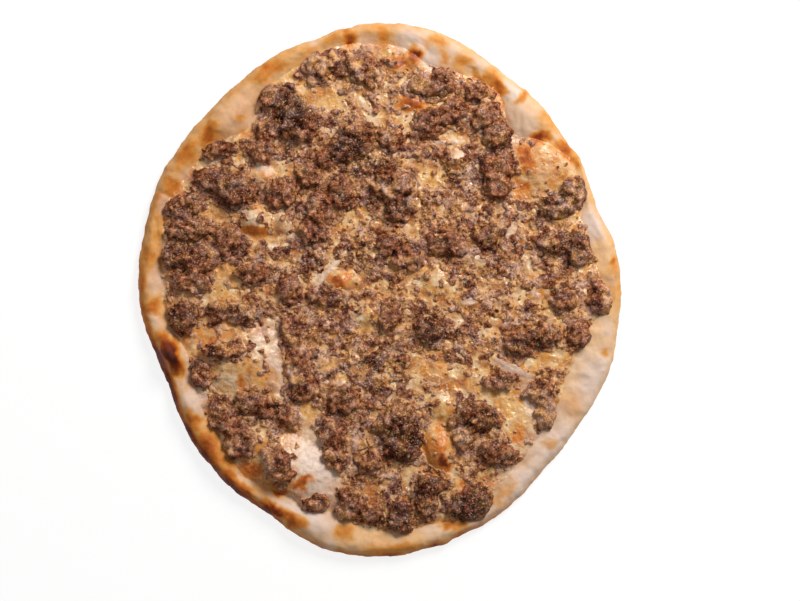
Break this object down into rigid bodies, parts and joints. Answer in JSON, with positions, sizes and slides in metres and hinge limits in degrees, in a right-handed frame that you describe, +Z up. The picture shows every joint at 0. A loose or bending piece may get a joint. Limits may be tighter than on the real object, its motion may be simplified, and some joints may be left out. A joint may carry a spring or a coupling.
{
  "type": "manakish",
  "caption": "Round manakish: a thin flatbread with a raised, blistered crust, baked under melted cheese and heaps of minced meat.",
  "frame": {"origin": "middle of the bread's outline, on the flat underside it rests on", "axes": "+Z up, +Y along the bread's longer way"},
  "size_m": [0.275, 0.3044, 0.0197],
  "materials": {
    "bread": "baked dough, dry and matt, golden on the crust",
    "cheese": "melted cheese, smooth with a soft shine",
    "meat": "fried minced meat, coarse and slightly greasy"
  },
  "bodies": {
    "root": {"bread": "bread", "cheese": "cheese", "meat_01": "meat", "meat_02": "meat", "meat_03": "meat", "meat_04": "meat", "meat_05": "meat", "meat_06": "meat", "meat_07": "meat", "meat_08": "meat", "meat_09": "meat", "meat_10": "meat", "meat_11": "meat", "meat_12": "meat", "meat_13": "meat", "meat_14": "meat", "meat_15": "meat", "meat_16": "meat", "meat_17": "meat", "meat_18": "meat", "meat_19": "meat", "meat_20": "meat", "meat_21": "meat", "meat_22": "meat", "meat_23": "meat", "meat_24": "meat", "meat_25": "meat", "meat_26": "meat", "meat_27": "meat", "meat_28": "meat", "meat_29": "meat", "meat_30": "meat", "meat_31": "meat", "meat_32": "meat", "meat_33": "meat", "meat_34": "meat", "meat_35": "meat", "meat_36": "meat", "meat_37": "meat", "meat_38": "meat", "meat_39": "meat", "meat_40": "meat", "meat_41": "meat", "meat_42": "meat", "meat_43": "meat", "meat_44": "meat", "meat_45": "meat", "meat_46": "meat", "meat_47": "meat", "meat_48": "meat", "meat_49": "meat", "meat_50": "meat", "meat_51": "meat", "meat_52": "meat", "meat_53": "meat"}
  },
  "joints": []
}
